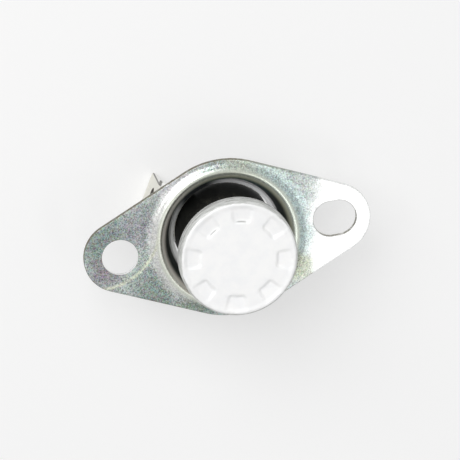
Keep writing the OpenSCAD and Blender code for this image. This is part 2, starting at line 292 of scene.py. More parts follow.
# The cap: its tones, its skirt with its painted shade, the scuffs that wander round the skirt, its
# rolled rim with its painted highlight, and the painted shade in the creases
ALUMINIUM = tone(0.98, 0.98, 0.975)
ALUMINIUM_CLOUD = tone(0.94, 0.945, 0.95)
SKIRT_SHADE_HIGH = tone(0.55, 0.56, 0.54)
SKIRT_SHADE_LOW = tone(0.36, 0.36, 0.35)
SCUFF = tone(0.14, 0.14, 0.13)
RIM_HIGHLIGHT = tone(0.92, 0.92, 0.91)
CREASE_SHADE_TONE = tone(0.16, 0.16, 0.15)
SKIRT_Z = (-0.01, -0.10)
SKIRT_R = (5.9, 6.1)
SKIRT_WANDER = 0.25
SKIRT_LOW_Z = (-1.0, -1.4)
SCUFF_Z = -0.75
SCUFF_HALF = (0.12, 0.03)
SCUFF_WANDER = 1.4
SCUFF_SHARE = 0.7
RIM_HIGHLIGHT_Z = (-1.75, -1.9)
CREASE_SHADE_SHARE = 0.75
SHOULDER_R = (5.5, 6.1)

# The base: its tones, and where up the base its dust is thickest
MOULDING = tone(0.006, 0.006, 0.006)
DUST = tone(0.11, 0.11, 0.085)
DUST_Z = (-8.0, -3.5)
DUST_SHARE = 0.8

# The terminals: their tones, the eye with its painted shade, the pale edges and the dark corners of
# the tabs
TIN = tone(0.78, 0.77, 0.70)
TIN_PALE = tone(0.86, 0.85, 0.79)
TAB_EDGE = tone(0.92, 0.92, 0.90)
TAB_DARK_AND_EYE_SHADE = tone(0.10, 0.09, 0.08)
EYE_R = (0.72, 0.66)
TAB_EDGE_X = (TAB_HALF - 0.04, TAB_HALF - 0.01)
TAB_CORNER_Y = (TAB_OUT_Y - 0.25, TAB_OUT_Y - 0.14)

# Fine bumps of a metal and of a moulding: their share of the patches' size, detail and depth
METAL_BUMPS = (0.2, 2.0, 0.005)
MOULDING_BUMPS = (0.3, 3.0, 0.01)

# Finishes of the pieces inside: the nodes, whether it is metal, the dark and the pale tone, the
# roughness, and the size of the patches
INNER_FINISHES = {
    "rivet_metal": (
        ("rivet_left", "rivet_right"), True,
        tone(0.62, 0.61, 0.57), tone(0.72, 0.71, 0.68), 0.3, 0.8),
    "contact_silver": (
        ("moving_contact", "fixed_contact"), True,
        tone(0.80, 0.79, 0.76), tone(0.90, 0.89, 0.86), 0.2, 0.4),
    "spring_bronze": (
        ("moving_blade",), True,
        tone(0.60, 0.36, 0.20), tone(0.74, 0.48, 0.28), 0.25, 0.7),
    "rolled_brass": (
        ("fixed_plate",), True,
        tone(0.70, 0.54, 0.26), tone(0.80, 0.65, 0.34), 0.25, 0.7),
    "two_metal_strip": (
        ("bimetal_disc",), True,
        tone(0.55, 0.51, 0.44), tone(0.66, 0.62, 0.54), 0.3, 0.9),
    "brown_moulding": (
        ("pin_guide",), False,
        tone(0.16, 0.08, 0.045), tone(0.24, 0.13, 0.07), 0.5, 1.1),
    "pin_ceramic": (
        ("push_pin",), False,
        tone(0.78, 0.76, 0.70), tone(0.86, 0.84, 0.80), 0.55, 0.6),
}

# The photograph's view: the lens leans off the cap's axis, and the bracket lies across the
# picture with its slotted ear on the right and a little higher
VIEW_LEAN = math.radians(20)
VIEW_TURN = math.radians(199)
VIEW_ROLL = math.radians(10.4)
VIEW_DISTANCE = 400
SCALE_PX = 9.15
PICTURE_PX = 460
PLATE_CENTRE_PX = (227.9, 237.9)
SENSOR = 36
NEAREST_M = 0.01
FURTHEST_M = 10

# The board: half its width, its tone, and the share of its look that doesn't depend on the lamps
BOARD_HALF = 900
BOARD = tone(0.98, 0.98, 0.98)
BOARD_GLOW = 0.52
WHITE = tone(1.0, 1.0, 1.0)

# What the room gives as light, and how pale it looks to the lens and in metal
ROOM_LIGHT = 0.40
ROOM_LOOK = 0.75

# The softboxes: name, place, what each looks at, width, height and brightness
SOFTBOXES = [
    ("key_softbox", (-230, -130, 280), (0, 0, -8), 260, 260, 0.44),
    ("ear_softbox", (36, 26, 92), (36, 26, -8), 60, 18, 0.07),
    ("side_softbox", (68, -37, 300), (0, 0, -8), 70, 70, 0.025),
]


class Wire:
    """One socket of a material's nodes. Arithmetic on wires adds Math nodes."""

    def __init__(self, nodes, socket):
        self.nodes = nodes
        self.socket = socket

    def maths(self, operation, *values):
        """A Math node that works on the values, which are wires or numbers."""
        return self.nodes.add("ShaderNodeMath", {"operation": operation}, dict(enumerate(values)))

    def __add__(self, other):
        return self.maths("ADD", self, other)

    def __radd__(self, other):
        return self.maths("ADD", other, self)

    def __sub__(self, other):
        return self.maths("SUBTRACT", self, other)

    def __rsub__(self, other):
        return self.maths("SUBTRACT", other, self)

    def __mul__(self, other):
        return self.maths("MULTIPLY", self, other)

    def __rmul__(self, other):
        return self.maths("MULTIPLY", other, self)

    def size(self):
        """This without its sign."""
        return self.maths("ABSOLUTE", self)

    def sign(self):
        """1 above 0, -1 below it and 0 at it."""
        return self.maths("SIGN", self)

    def larger(self, other):
        """The larger of this and the other."""
        return self.maths("MAXIMUM", self, other)

    def step(self, start, end):
        """0 at start, 1 at end, and a smooth change between. A falling step has start above end."""
        settings = {"interpolation_type": "SMOOTHSTEP"}
        low, high = min(start, end), max(start, end)
        rise = self.nodes.add("ShaderNodeMapRange", settings, {0: self, 1: low, 2: high})
        return rise if start < end else 1 - rise


class Nodes:
    """A tree of nodes, of a material or of the world."""

    def __init__(self, tree, end):
        self.tree = tree
        self.tree.nodes.clear()
        self.output = self.tree.nodes.new(end)

    def add(self, kind, settings=None, inputs=None, output=0):
        """Adds a node, sets its settings, then sets or links its sockets, and returns one output."""
        node = self.tree.nodes.new(kind)
        for key, value in (settings or {}).items():
            setattr(node, key, value)
        for key, value in (inputs or {}).items():
            self.feed(node.inputs[key], value)
        return Wire(self, node.outputs[output])

    def feed(self, socket, value):
        """Links a wire to a socket, or sets the socket to a value."""
        if isinstance(value, Wire):
            self.tree.links.new(value.socket, socket)
        else:
            socket.default_value = value

    def seen(self):
        """1 for the lens and for what metal or glass shows, 0 for light that falls on a surface."""
        kinds = ("Is Camera Ray", "Is Glossy Ray", "Is Transmission Ray")
        camera, glossy, through = [self.add("ShaderNodeLightPath", output=kind) for kind in kinds]
        return camera.maths("MINIMUM", camera + glossy + through, 1.0)

    def place(self):
        """Where a point lies on the object, as a vector in metres."""
        return self.add("ShaderNodeTexCoord", output="Object")

    def axes(self):
        """The same as three numbers, in millimetres."""
        split = {0: self.place()}
        return [self.add("ShaderNodeSeparateXYZ", None, split, i) * (1 / MM) for i in range(3)]

    def noise(self, size, detail=2.0, roughness=0.5, stretch=None):
        """Soft noise from 0 to 1, whose patches are about size millimetres across."""
        where = self.place()
        if stretch is not None:
            where = self.add("ShaderNodeMapping", None, {"Vector": where, "Scale": stretch})
        inputs = {"Vector": where, "Scale": 1 / (size * MM), "Detail": detail, "Roughness": roughness}
        return self.add("ShaderNodeTexNoise", None, inputs)

    def grains(self, size):
        """One random colour for each grain of a broken surface, about size millimetres across."""
        inputs = {"Vector": self.place(), "Scale": 1 / (size * MM), "Randomness": 1.0}
        return self.add("ShaderNodeTexVoronoi", None, inputs, "Color")

    def red(self, colour):
        """The red part of a colour, as a number."""
        return self.add("ShaderNodeSeparateColor", None, {0: colour})

    def mark(self):
        """The mark that a new mesh carries at each of its points."""
        return self.add("ShaderNodeAttribute", {"attribute_name": "mark"}, None, "Fac")

    def blend(self, factor, first, second):
        """Colour that goes from first to second as factor goes from 0 to 1."""
        settings = {"data_type": "RGBA"}
        return self.add("ShaderNodeMix", settings, {0: factor, 6: first, 7: second}, 2)

    def scale_colour(self, colour, level):
        """Colour made lighter or darker by a number."""
        settings = {"operation": "SCALE"}
        return self.add("ShaderNodeVectorMath", settings, {0: colour, "Scale": level})

    def distance(self, first, second):
        """Length of a step of first one way and second across it."""
        return first.maths("SQRT", first * first + second * second)

    def bump(self, height, depth, strength=1.0, under=None):
        """Normal of a surface whose height, from 0 to 1, stands for depth millimetres."""
        inputs = {"Height": height, "Distance": depth * MM, "Strength": strength}
        if under is not None:
            inputs["Normal"] = under
        return self.add("ShaderNodeBump", None, inputs)


class Finish(Nodes):
    """The nodes of one material, and its surface shader."""

    def __init__(self, name):
        self.material = bpy.data.materials.new(name)
        self.material.use_nodes = True
        super().__init__(self.material.node_tree, "ShaderNodeOutputMaterial")
        self.shader = self.tree.nodes.new("ShaderNodeBsdfPrincipled")
        self.tree.links.new(self.shader.outputs[0], self.output.inputs[0])

    def surface(self, **sockets):
        """Sets or links the shader's sockets, whose names have underscores for spaces."""
        for key, value in sockets.items():
            self.feed(self.shader.inputs[key.replace("_", " ")], value)
        return self.material


def plate_colour(finish, across, along, reach):
    """The plate: zinc under soft tints that are partly painted light, a painted reflection on the
    slotted ear, two arcs of painted light and shade, a straw patch and a streak.
    """
    wander = finish.noise(2.2, 3.0, 0.55) - 0.5
    colour = ZINC
    # Tint patches: partly the zinc's own tint, partly painted shade on the -Y side and a painted
    # reflection on the -X side
    for x, y, radius, tint in TINTS_AND_PAINTED_LIGHT:
        distance = finish.distance(across - x, along - y) + wander * radius * TINT_WANDER
        colour = finish.blend(distance.step(radius, radius * TINT_CORE), colour, tint)
    # Painted reflection of the ear softbox: the slotted ear turns white
    white = (along + across * EAR_REFLECTION_SLANT + wander * EAR_REFLECTION_WANDER).step(*EAR_REFLECTION_Y)
    colour = finish.blend(white, colour, EAR_PAINTED_REFLECTION)
    # Arcs round the bead: teal tint with painted shade on the +Y side, and a painted highlight on the
    # -Y flank
    for drift, out, ahead, aside, tint in BEAD_ARCS_OF_LIGHT_AND_SHADE:
        arc = (reach + wander * drift).step(*out) * along.step(*ahead) * across.step(*aside)
        colour = finish.blend(arc * ARC_SHARE, colour, tint)
    straw = finish.distance(across - STRAW_X, along - STRAW_Y) + wander * STRAW_WANDER
    colour = finish.blend(straw.step(*STRAW_R) * STRAW_SHARE, colour, STRAW)
    streak = (finish.distance(across - STREAK_X, along - STREAK_Y) - STREAK_R).size()
    broken = finish.noise(0.5, 2.0).step(0.2, 0.5)
    streak = streak.step(*STREAK_HALF) * across.step(*STREAK_FROM_X) * broken
    return finish.blend(streak * STREAK_SHARE, colour, STREAK)


def painted_wall_shade(finish, across, along, deep):
    """Painted shade on the cup's wall: olive that turns warm towards -Y, and deep down dark that
    turns teal.
    """
    upper = finish.blend(along.step(*WARM_Y), WALL_SHADE_OLIVE, WALL_LIGHT_WARM)
    lower = finish.blend(across.step(*TEAL_X), WALL_DEEP_SHADE, WALL_TEAL_SHADE)
    return finish.blend(deep, upper, lower)


def painted_lip_light(finish, along):
    """Painted light and shade on the lip: pale at the -Y end, then dark, and white on the +Y side."""
    lip_light_and_shade = finish.blend(along.step(*LIP_PALE_Y), LIP_SHADE, LIP_LIT)
    return finish.blend(along.step(*LIP_WHITE_Y), lip_light_and_shade, LIP_HIGHLIGHT)


def zinc_finish():
    """Zinc plate: sparkling grain under drifting tints, with brown where the sheet was sheared.

    The bead's crest is smooth and carries a painted highlight, with a painted dark line inside it on
    the -Y side. The cup's wall and lip carry painted light and shade. The tints are partly painted
    light too: shade on the -Y side, reflections on the -X side and on the slotted ear, and light and
    shade in arcs round the bead. The grain shows most where the plate is dark, and not in the cup. A
    mark above 0 is a sheared edge, and one below 0 a painted highlight on an edge.
    """
    finish = Finish("zinc_plate")
    across, along, height = finish.axes()
    reach = finish.distance(across, along)
    inside = reach.step(*INSIDE_R)
    deep = reach.step(*DEEP_SHADE_R)
    lip = height.step(*LIP_Z) * reach.step(*LIP_R)
    crest = (reach - CREST_R).size().step(*CREST_HALF)
    dark_line = (reach - CREST_R + DARK_LINE_IN).size().step(*DARK_LINE_HALF) * along.step(*WARM_Y)
    colour = plate_colour(finish, across, along, reach)
    # Painted shade on the cup's wall, darkest low in the cup
    colour = finish.blend(inside, colour, painted_wall_shade(finish, across, along, deep))
    # Painted light and shade on the lip
    colour = finish.blend(lip, colour, painted_lip_light(finish, along))
    # Painted highlight along the bead's crest
    colour = finish.blend(crest * CREST_SHARE, colour, CREST_HIGHLIGHT)
    # Painted shade: a dark line inside the crest on the -Y side
    colour = finish.blend(dark_line * DARK_LINE_SHARE, colour, DARK_LINE_SHADE)

    plain = 1 - (crest * CREST_SMOOTH).larger(inside)
    contrast = plain * (1.0 - finish.red(colour)) * GRAIN_CONTRAST
    fine = finish.red(finish.grains(FINE_GRAIN))
    coarse = finish.noise(COARSE_GRAIN, 2.0, 0.7).step(0.3, 0.7)
    speckle = (fine - 0.5) + (coarse - 0.5) * COARSE_SHARE
    colour = finish.scale_colour(colour, 1 + speckle * contrast)
    chroma = finish.blend(0.5, finish.grains(COLOUR_GRAIN), MID_GREY)
    colour = finish.blend(contrast * COLOUR_SHARE, colour, chroma)

    mark = finish.mark()
    edge = mark.larger(0.0) * finish.noise(0.35, 3.0, 0.7).step(0.25, 0.55)
    colour = finish.blend(edge, colour, SHEARED)
    # Painted highlight on the lower wall of the round hole
    colour = finish.blend((0 - mark).larger(0.0), colour, EDGE_HIGHLIGHT)

    rough = 0.29 + fine * plain * 0.10 + edge * 0.25 + inside * deep * 0.4 - lip * 0.2
    relief = finish.bump(reach.step(*SWELL_R), SWELL_DEPTH)
    relief = finish.bump((fine * 0.7 + coarse * 0.3) * contrast, GRAIN_DEPTH, 0.7, relief)
    metal = 1 - edge * 0.5 - inside * 0.65
    return finish.surface(Base_Color=colour, Metallic=metal, Roughness=rough, Normal=relief)


def aluminium_finish():
    """Pale aluminium, tumbled satin, with faint clouds.

    The skirt is greyer in drawn bands and darker low down, which is painted shade, with dark scuffs
    that wander round it and a painted highlight on the rolled rim. The mark is painted shade in the
    dents' creases.
    """
    finish = Finish("satin_aluminium")
    across, along, height = finish.axes()
    reach = finish.distance(across, along)
    clouds = finish.noise(1.6, 3.0, 0.6)
    fine = finish.noise(0.12, 2.0, 0.6)
    drawn = finish.noise(1.6, 3.0, 0.7, (1.0, 1.0, 6.0)).step(0.38, 0.60)
    colour = finish.blend(clouds.step(0.35, 0.7), ALUMINIUM, ALUMINIUM_CLOUD)

    # Painted shade on the skirt: grey in drawn bands, and darker low down
    skirt = (height + (clouds - 0.5) * SKIRT_WANDER).step(*SKIRT_Z) * reach.step(*SKIRT_R)
    skirt_shade = finish.blend(height.step(*SKIRT_LOW_Z), SKIRT_SHADE_HIGH, SKIRT_SHADE_LOW)
    colour = finish.blend(skirt * (0.55 + drawn * 0.45), colour, skirt_shade)
    scuff = (height - SCUFF_Z + (clouds - 0.5) * SCUFF_WANDER).size().step(*SCUFF_HALF)
    scuff = scuff * finish.noise(1.1, 2.0, 0.6).step(0.42, 0.58)
    colour = finish.blend(scuff * SCUFF_SHARE, colour, SCUFF)
    # Painted highlight on the rolled rim
    colour = finish.blend(height.step(*RIM_HIGHLIGHT_Z), colour, RIM_HIGHLIGHT)
    # Painted shade in the dents' creases, on the -X side
    colour = finish.blend(finish.mark() * CREASE_SHADE_SHARE, colour, CREASE_SHADE_TONE)

    rough = 0.50 + clouds * 0.12 + skirt * 0.1
    metal = 0.35 + skirt * 0.3
    relief = finish.bump(fine, 0.004)
    relief = finish.bump(finish.noise(0.9, 3.0, 0.55), 0.02, 1.0, relief)
    uneven = finish.noise(0.7, 3.0, 0.6) * reach.step(*SHOULDER_R)
    relief = finish.bump(uneven, 0.10, 1.0, relief)
    return finish.surface(Base_Color=colour, Metallic=metal, Roughness=rough, Normal=relief)


def moulding_finish():
    """Black phenolic moulding, nearly matt, with olive dust that is thickest near the cap."""
    finish = Finish("black_moulding")
    _, _, height = finish.axes()
    specks = finish.noise(0.25, 4.0, 0.75).step(0.50, 0.64)
    near = finish.noise(1.3, 2.0).step(0.35, 0.65) * 0.3 + height.step(*DUST_Z) * 0.7
    dust = specks * near
    colour = finish.blend(dust * DUST_SHARE, MOULDING, DUST)
    rough = 0.50 + dust * 0.3
    relief = finish.bump(finish.noise(0.25, 3.0, 0.6), 0.01)
    return finish.surface(Base_Color=colour, Roughness=rough, Normal=relief,
                          Specular_IOR_Level=0.05)


def tinned_finish():
    """Dull tinned brass of the terminals, with pale edges, dark corners, and painted shade in the
    eyes.

    The two tabs are half a turn apart, so the side of the eye changes with the sign of Y.
    """
    finish = Finish("tinned_brass")
    rolled = finish.noise(0.3, 2.0, 0.5, (1.0, 1.0, 0.15))
    clouds = finish.noise(2.2, 2.0)
    colour = finish.blend(clouds, TIN, TIN_PALE)
    across, along, height = finish.axes()
    aside = across * math.cos(TAB_TURN) + along * math.sin(TAB_TURN)
    outward = along * math.cos(TAB_TURN) - across * math.sin(TAB_TURN)
    eye = finish.distance(aside * outward.sign() - TAB_EYE_X, height - TAB_EYE_Z).step(*EYE_R)
    edge = aside.size().step(*TAB_EDGE_X)
    corner = edge * outward.size().step(*TAB_CORNER_Y)
    colour = finish.blend(edge, colour, TAB_EDGE)
    # Painted shade in the eye's wall, and the dark corners
    colour = finish.blend((eye * 0.9).larger(corner * 0.8), colour, TAB_DARK_AND_EYE_SHADE)
    rough = 0.42 + rolled * 0.14
    relief = finish.bump(rolled, 0.006)
    return finish.surface(Base_Color=colour, Metallic=0.6, Roughness=rough, Normal=relief)


def plain_finish(name, is_metal, dark, pale, rough, size):
    """Metal or a moulding whose colour drifts between two tones in patches of the size given."""
    finish = Finish(name)
    clouds = finish.noise(size, 3.0, 0.6)
    colour = finish.blend(clouds, dark, pale)
    share, detail, depth = METAL_BUMPS if is_metal else MOULDING_BUMPS
    relief = finish.bump(finish.noise(size * share, detail), depth)
    return finish.surface(Base_Color=colour, Metallic=float(is_metal),
                          Roughness=rough + clouds * 0.1, Normal=relief)


def walk(start, moves, step=BEND_STEP):
    """Centre line of a bent sheet: a walk along lines and arcs in a plane.

    A move is a length, or an arc as (radius, angle), where a positive angle turns to the left.
    Returns the points and the unit normals to the left of the way, as two arrays.
    """
    point = np.array(start, float)
    heading = 0.0
    points, headings = [point], [heading]
    for move in moves:
        radius, angle = move if isinstance(move, tuple) else (None, 0.0)
        length = move if radius is None else radius * abs(angle)
        share = np.linspace(0, 1, max(2, int(length / step) + 1))[1:]
        if radius is None:
            way = np.array([math.cos(heading), math.sin(heading)])
            path = point + length * share[:, None] * way
            turned = np.full(len(share), heading)
        else:
            side = math.copysign(1.0, angle)
            turned = heading + angle * share
            left = np.array([-math.sin(heading), math.cos(heading)]) * side
            centre = point + radius * left
            path = centre - radius * side * np.stack([-np.sin(turned), np.cos(turned)], 1)
        points.extend(path)
        headings.extend(turned)
        point, heading = path[-1], turned[-1]
    headings = np.array(headings)
    return np.array(points), np.stack([-np.sin(headings), np.cos(headings)], 1)


def revolved(radii, heights, angles):
    """Surface of revolution: radius times cosine, radius times sine, and height.

    The radii are a column, a row of the surface each, and the heights a column or a full grid.
    """
    heights = np.broadcast_to(heights, (len(radii), len(angles)))
    return np.stack([radii * np.cos(angles), radii * np.sin(angles), heights], -1)


def quads(rows, columns):
    """Corner numbers of the faces of a grid of rows by columns points."""
    row, column = np.meshgrid(np.arange(rows - 1), np.arange(columns - 1), indexing="ij")
    first = (row * columns + column).ravel()
    return np.stack([first, first + 1, first + columns + 1, first + columns], 1)


def make_piece(name, patches, body, nodes, material):
    """Joins grids of points into one closed mesh that rides on a body.

    A patch is a grid of points in millimetres, with or without a mark for each point: on the bracket
    how sheared an edge is or how much painted highlight it has, and on the cap how much painted shade
    a crease holds.
    """
    points, faces, marks = [], [], []
    count = 0
    for patch in patches:
        grid, mark = patch if isinstance(patch, tuple) else (patch, 0.0)
        rows, columns = grid.shape[:2]
        points.append(grid.reshape(-1, 3) * MM)
        marks.append(np.broadcast_to(mark, (rows, columns)).ravel())
        faces.append(quads(rows, columns) + count)
        count += rows * columns
    mesh = bpy.data.meshes.new(name)
    mesh.from_pydata(np.concatenate(points).tolist(), [], np.concatenate(faces).tolist())
    attribute = mesh.attributes.new("mark", "FLOAT", "POINT")
    attribute.data.foreach_set("value", np.concatenate(marks).astype(np.float32))
    shape = bmesh.new()
    shape.from_mesh(mesh)
    bmesh.ops.remove_doubles(shape, verts=shape.verts, dist=MERGE_DISTANCE)
    bmesh.ops.dissolve_degenerate(shape, edges=shape.edges, dist=THIN_EDGE)
    bmesh.ops.recalc_face_normals(shape, faces=shape.faces)
    shape.to_mesh(mesh)
    shape.free()
    mesh.shade_smooth()
    mesh.set_sharp_from_angle(angle=SHARP_ANGLE)
    mesh.materials.append(material)
    piece = bpy.data.objects.new(name, mesh)
    bpy.context.scene.collection.objects.link(piece)
    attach(piece, body)
    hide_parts(*nodes)
    return piece


def plateau(distance, soft):
    """1 inside, 0 outside and a smooth slope of about soft between, from a signed distance.

    It is 1 over 1 plus the exponential of the distance in half softs, kept within 40 of them.
    """
    return 1 / (1 + np.exp(np.clip(distance / (soft * 0.5), -40, 40)))


def beside_dent(angles):
    """Angle from the middle of the nearest dent."""
    turn = 2 * math.pi / DENT_COUNT
    return (angles - DENT_TURN + turn / 2) % turn - turn / 2


def dent_share(radii, angles):
    """How deep each point of the face is pressed, from 0 to 1.

    A dent is a plateau of the distance outside a sector with rounded corners: the sector's two
    half widths less a corner radius, then the length of what is left over. It gets shallower on
    the way out from the axis.
    """
    aside = beside_dent(angles)
    mid_r = (DENT_IN_R + DENT_OUT_R) / 2
    over_r = np.abs(radii - mid_r) - (DENT_OUT_R - DENT_IN_R) / 2 + DENT_CORNER
    over_a = np.abs(aside) * radii - DENT_HALF * radii + DENT_CORNER
    outside = np.hypot(np.maximum(over_r, 0), np.maximum(over_a, 0))
    inside = np.minimum(np.maximum(over_r, over_a), 0)
    rise = DENT_RISE * np.clip((radii - DENT_IN_R) / (DENT_OUT_R - DENT_IN_R), 0, 1)
    return plateau(outside + inside - DENT_CORNER, DENT_SOFT) * (1 - rise)


def painted_crease_shade(radii, angles):
    """Painted shade in the crease at a dent's inner end, on the cap's -X side.

    It is a bell across the crease, times a plateau along it, times a share that falls with the cosine
    of the angle from where the shade is darkest, a little past -X.
    """
    across = np.exp(-((radii - DENT_IN_R - CREASE_SHIFT) / CREASE_WIDTH) ** 2)
    past_end = np.abs(beside_dent(angles)) * radii - DENT_IN_R * DENT_HALF * CREASE_LENGTH
    share = -np.cos(angles - CREASE_TURN) * CREASE_RISE - CREASE_START
    return across * plateau(past_end, CREASE_END_SOFT) * np.clip(share, 0, 1)


def cap_piece(material):
    """The cap: its sheet's section turned about the axis, with the dents pressed into the face.

    The section is a walk along the sheet's middle, moved half a thickness each way. On the flat
    of the face each point is lowered by the dents' depth times the share of it there.
    """
    down_bend = CAP_EDGE_R - CAP_T / 2
    roll_bend = ROLL_BEND + CAP_T / 2
    dented_r = DENT_IN_R - DENT_LEAD
    edge_start_r = CAP_R - CAP_EDGE_R
    skirt = CAP_H - CAP_T / 2 - down_bend - roll_bend - CAP_T / 2
    roll = CAP_R - CAP_T / 2 - roll_bend - ROLL_IN_R
    down, inward = (down_bend, -math.pi / 2), (roll_bend, -math.pi / 2)
    parts = [
        walk((0, -CAP_T / 2), [dented_r], MIDDLE_STEP),
        walk((dented_r, -CAP_T / 2), [edge_start_r - dented_r], DENT_STEP),
        walk((edge_start_r, -CAP_T / 2), [down, skirt, inward, roll]),
    ]
    centre = np.concatenate([parts[0][0], parts[1][0][1:], parts[2][0][1:]])
    left = np.concatenate([parts[0][1], parts[1][1][1:], parts[2][1][1:]])
    flat = left[:, 1:] > UPRIGHT
    patches, ends = [], []
    for side in (0.5, -0.5):
        section = centre + left * side * CAP_T
        radii = section[:, :1]
        depth = DENT_DEPTH * dent_share(radii, CAP_ANGLES) * flat
        grid = revolved(radii, section[:, 1:] - depth, CAP_ANGLES)
        patches.append((grid, painted_crease_shade(radii, CAP_ANGLES) * flat * (side > 0)))
        ends.append(grid[-1])
    patches.append(np.stack(ends))
    return make_piece("cap_shell", patches, "thermostat", ["cap"], material)


def outline(inset):
    """Half of the bracket's outline from the +X side over the +Y ear to the -X side.

    The waist is an arc about the axis, the ear an arc about its hole, and their common tangents
    lie between. Points up to SPLIT from the X axis are on rays from the axis, as the cup's are.
    """
    waist_r, ear_r = WAIST_R - inset, EAR_R - inset
    tangent = math.pi / 2 - math.acos((WAIST_R - EAR_R) / EAR_Y)
    polar = np.array([a for a in RAYS if a <= SPLIT + SNAP])
    reach = np.where(polar <= tangent, waist_r, waist_r / np.cos(polar - tangent))
    waist = np.stack([reach * np.cos(polar), reach * np.sin(polar)], 1)
    ear_start = np.array([ear_r * math.cos(tangent), EAR_Y + ear_r * math.sin(tangent)])
    share = np.linspace(0, 1, TANGENT_POINTS)[1:-1, None]
    line = waist[-1] + (ear_start - waist[-1]) * share
    turn = np.linspace(tangent, math.pi - tangent, EAR_POINTS)
    ear = np.stack([ear_r * np.cos(turn), EAR_Y + ear_r * np.sin(turn)], 1)
    return waist, np.concatenate([line, ear, line[::-1] * [-1, 1]]), waist[::-1] * [-1, 1]


def bracket_section():
    """Centre line and normals of the cup: lip, bend, sloping wall, bead and foot.

    The foot's lean follows from the height of the crest over the plate, and the lip's length
    from what the wall and its bends leave over between the crest and the cup's hole.
    """
    rise = CREST_MID_Z - PLATE_MID_Z
    lean = math.acos(1 - rise / (CUP_BEND + FOOT_BEND))
    climb = CREST_MID_Z - LIP_MID_Z - 2 * CUP_BEND
    wall = (climb + 2 * CUP_BEND * math.sin(CUP_TAPER)) / math.cos(CUP_TAPER)
    run = 2 * CUP_BEND * math.cos(CUP_TAPER) + wall * math.sin(CUP_TAPER)
    lip = CREST_R - run - CUP_HOLE_R
    turn = math.pi / 2 - CUP_TAPER
    moves = [lip, (CUP_BEND, turn), wall, (CUP_BEND, -turn - lean), (FOOT_BEND, lean)]
    return walk((CUP_HOLE_R, LIP_MID_Z), moves)


def hole_ring(directions, radius, half):
    """Edge of a hole seen from its centre: a circle, or a slot of two half circles along Y.

    Each way reaches the slot's straight side, or the half circle if it passes the side's end.
    """
    across, along = np.abs(directions[:, 0]), np.abs(directions[:, 1])
    side = radius / np.maximum(across, SNAP)
    inside = half * along + np.sqrt(np.maximum(radius ** 2 - (half * across) ** 2, 0))
    reach = np.where(side * along <= half, side, inside)
    return HOLE_MIDDLE + directions * reach[:, None]


def level(points, z):
    """Points of a plane lifted to height z."""
    return np.concatenate([points, np.full((*points.shape[:-1], 1), float(z))], -1)


def between(first, last, steps):
    """Grid of straight lines from each point of one row to the same point of another."""
    share = np.linspace(0, 1, steps + 1)[:, None, None]
    return first + (last - first) * share


def plate_part(foot_r, inset):
    """Half of the plate: two bands beside the waist, the loop round a hole's area, and the rim."""
    right, ear, left = outline(inset)
    foot = np.stack([foot_r * np.cos(RAYS), foot_r * np.sin(RAYS)], 1)
    near = RAYS <= SPLIT + SNAP
    far = (RAYS >= math.pi - SPLIT - SNAP) & (RAYS <= math.pi + SNAP)
    middle = (RAYS >= SPLIT - SNAP) & (RAYS <= math.pi - SPLIT + SNAP)
    bands = [between(foot[near], right, BAND_STEPS), between(foot[far], left, BAND_STEPS)]
    back = foot[middle][::-1][1:]
    loop = np.concatenate([bands[0][:, -1], ear, bands[1][::-1, 0], back])
    return bands, loop, np.concatenate([right, ear, left])


def plate_face(foot_r, z, inset, ways):
    """One face of the plate, whose quads round each hole run along the ways from its middle."""
    patches = []
    bands, loop, _ = plate_part(foot_r, inset)
    for half_turn, hole_half in HALVES:
        ring = hole_ring(ways, SCREW_R + inset, hole_half)
        for band in bands + [between(ring, loop, RING_STEPS)]:
            patches.append(level(band * half_turn, z))
    return patches


def edge_profile():
    """How far the plate's edge lies inside its outline, and its height, from the top down.

    A quarter circle rounds the corner where the punch went in, the edge then goes straight down,
    and its lowest part breaks back a little.
    """
    bend = np.linspace(0, math.pi / 2, EDGE_POINTS)
    insets = list(EDGE_ROUND * (1 - np.sin(bend))) + [0.0, BREAK_INSET]
    heights = list(PLATE_TOP_Z - EDGE_ROUND * (1 - np.cos(bend))) + [BREAK_Z, PLATE_LOW_Z]
    return insets, heights


def plate_edges(foot_r, insets, heights, ways):
    """The plate's rim and the walls of its holes: the edge's profile carried round each."""
    patches = []
    for half_turn, hole_half in HALVES:
        rims = [plate_part(foot_r, inset)[2] * half_turn for inset in insets]
        rows = np.stack([level(rim, z) for rim, z in zip(rims, heights)])
        # The sheared edge's dark fades towards the slotted ear, as painted light on that side
        fade = np.clip((FADED_Y - rows[..., 1]) / FADE_LENGTH, 0.0, 1.0)
        patches.append((rows, RIM_MARK * fade))
        rings = [hole_ring(ways, SCREW_R + inset, hole_half) * half_turn for inset in insets]
        walls = np.stack([level(ring, z) for ring, z in zip(rings, heights)])
        patches.append((walls, RIM_MARK * SLOT_SHARE if hole_half else ROUND_HOLE_MARK))
    return patches


def cup_faces(centre, left):
    """The cup's two faces, turned about the axis, and the sheared edge of its lip."""
    sections = [centre + left * side * SHEET for side in (0.5, -0.5)]
    faces = [revolved(section[:, :1], section[:, 1:], RAYS) for section in sections]
    return faces + [(np.stack([face[0] for face in faces]), 1.0)]


def bracket_piece(material):
    """The bracket: the cup's section turned about the axis, and the plate with its holes.

    Both faces of the plate use the same ways out from each hole's middle, so that their corners
    meet those of the edges.
    """
    centre, left = bracket_section()
    foot_r = centre[-1, 0]
    insets, heights = edge_profile()
    ways = plate_part(foot_r, 0.0)[1] - HOLE_MIDDLE
    ways = ways / np.linalg.norm(ways, axis=1)[:, None]
    patches = cup_faces(centre, left)
    patches += plate_face(foot_r, heights[0], insets[0], ways)
    patches += plate_face(foot_r, heights[-1], insets[-1], ways)
    patches += plate_edges(foot_r, insets, heights, ways)
    return make_piece("bracket_sheet", patches, "bracket", ["bracket"], material)


def assign(node, material):
    """Gives a node of the construction its finish."""
    mesh = frame["nodes"][node].data
    mesh.materials.clear()
    mesh.materials.append(material)


